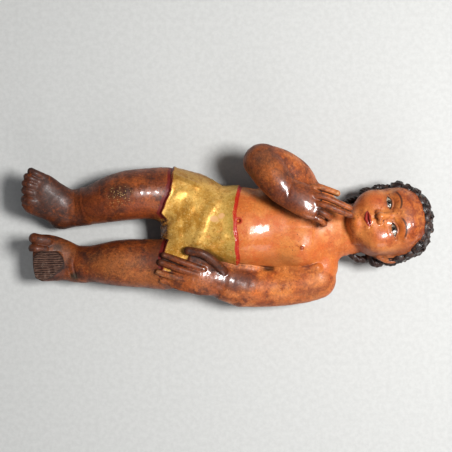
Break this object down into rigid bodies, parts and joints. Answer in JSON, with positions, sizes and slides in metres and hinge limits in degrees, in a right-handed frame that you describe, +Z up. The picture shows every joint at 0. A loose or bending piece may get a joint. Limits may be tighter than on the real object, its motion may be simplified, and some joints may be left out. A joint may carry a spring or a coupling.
{
  "type": "christ child figure",
  "caption": "Carved and painted wooden figure of a child in a gilt loincloth, right hand raised to the chin in blessing, left hand on the hip, lying on its back.",
  "frame": {"origin": "on the surface the figure lies on, under the middle of its bounding box", "axes": "+X towards the crown of the head, +Y towards the figure's own right side, +Z up out of the chest"},
  "size_m": [0.32, 0.1256, 0.0672],
  "materials": {
    "painted_wood": "varnished polychrome over gesso, with gold leaf on the loincloth"
  },
  "bodies": {
    "root": {"carved_figure": "painted_wood"}
  },
  "joints": []
}
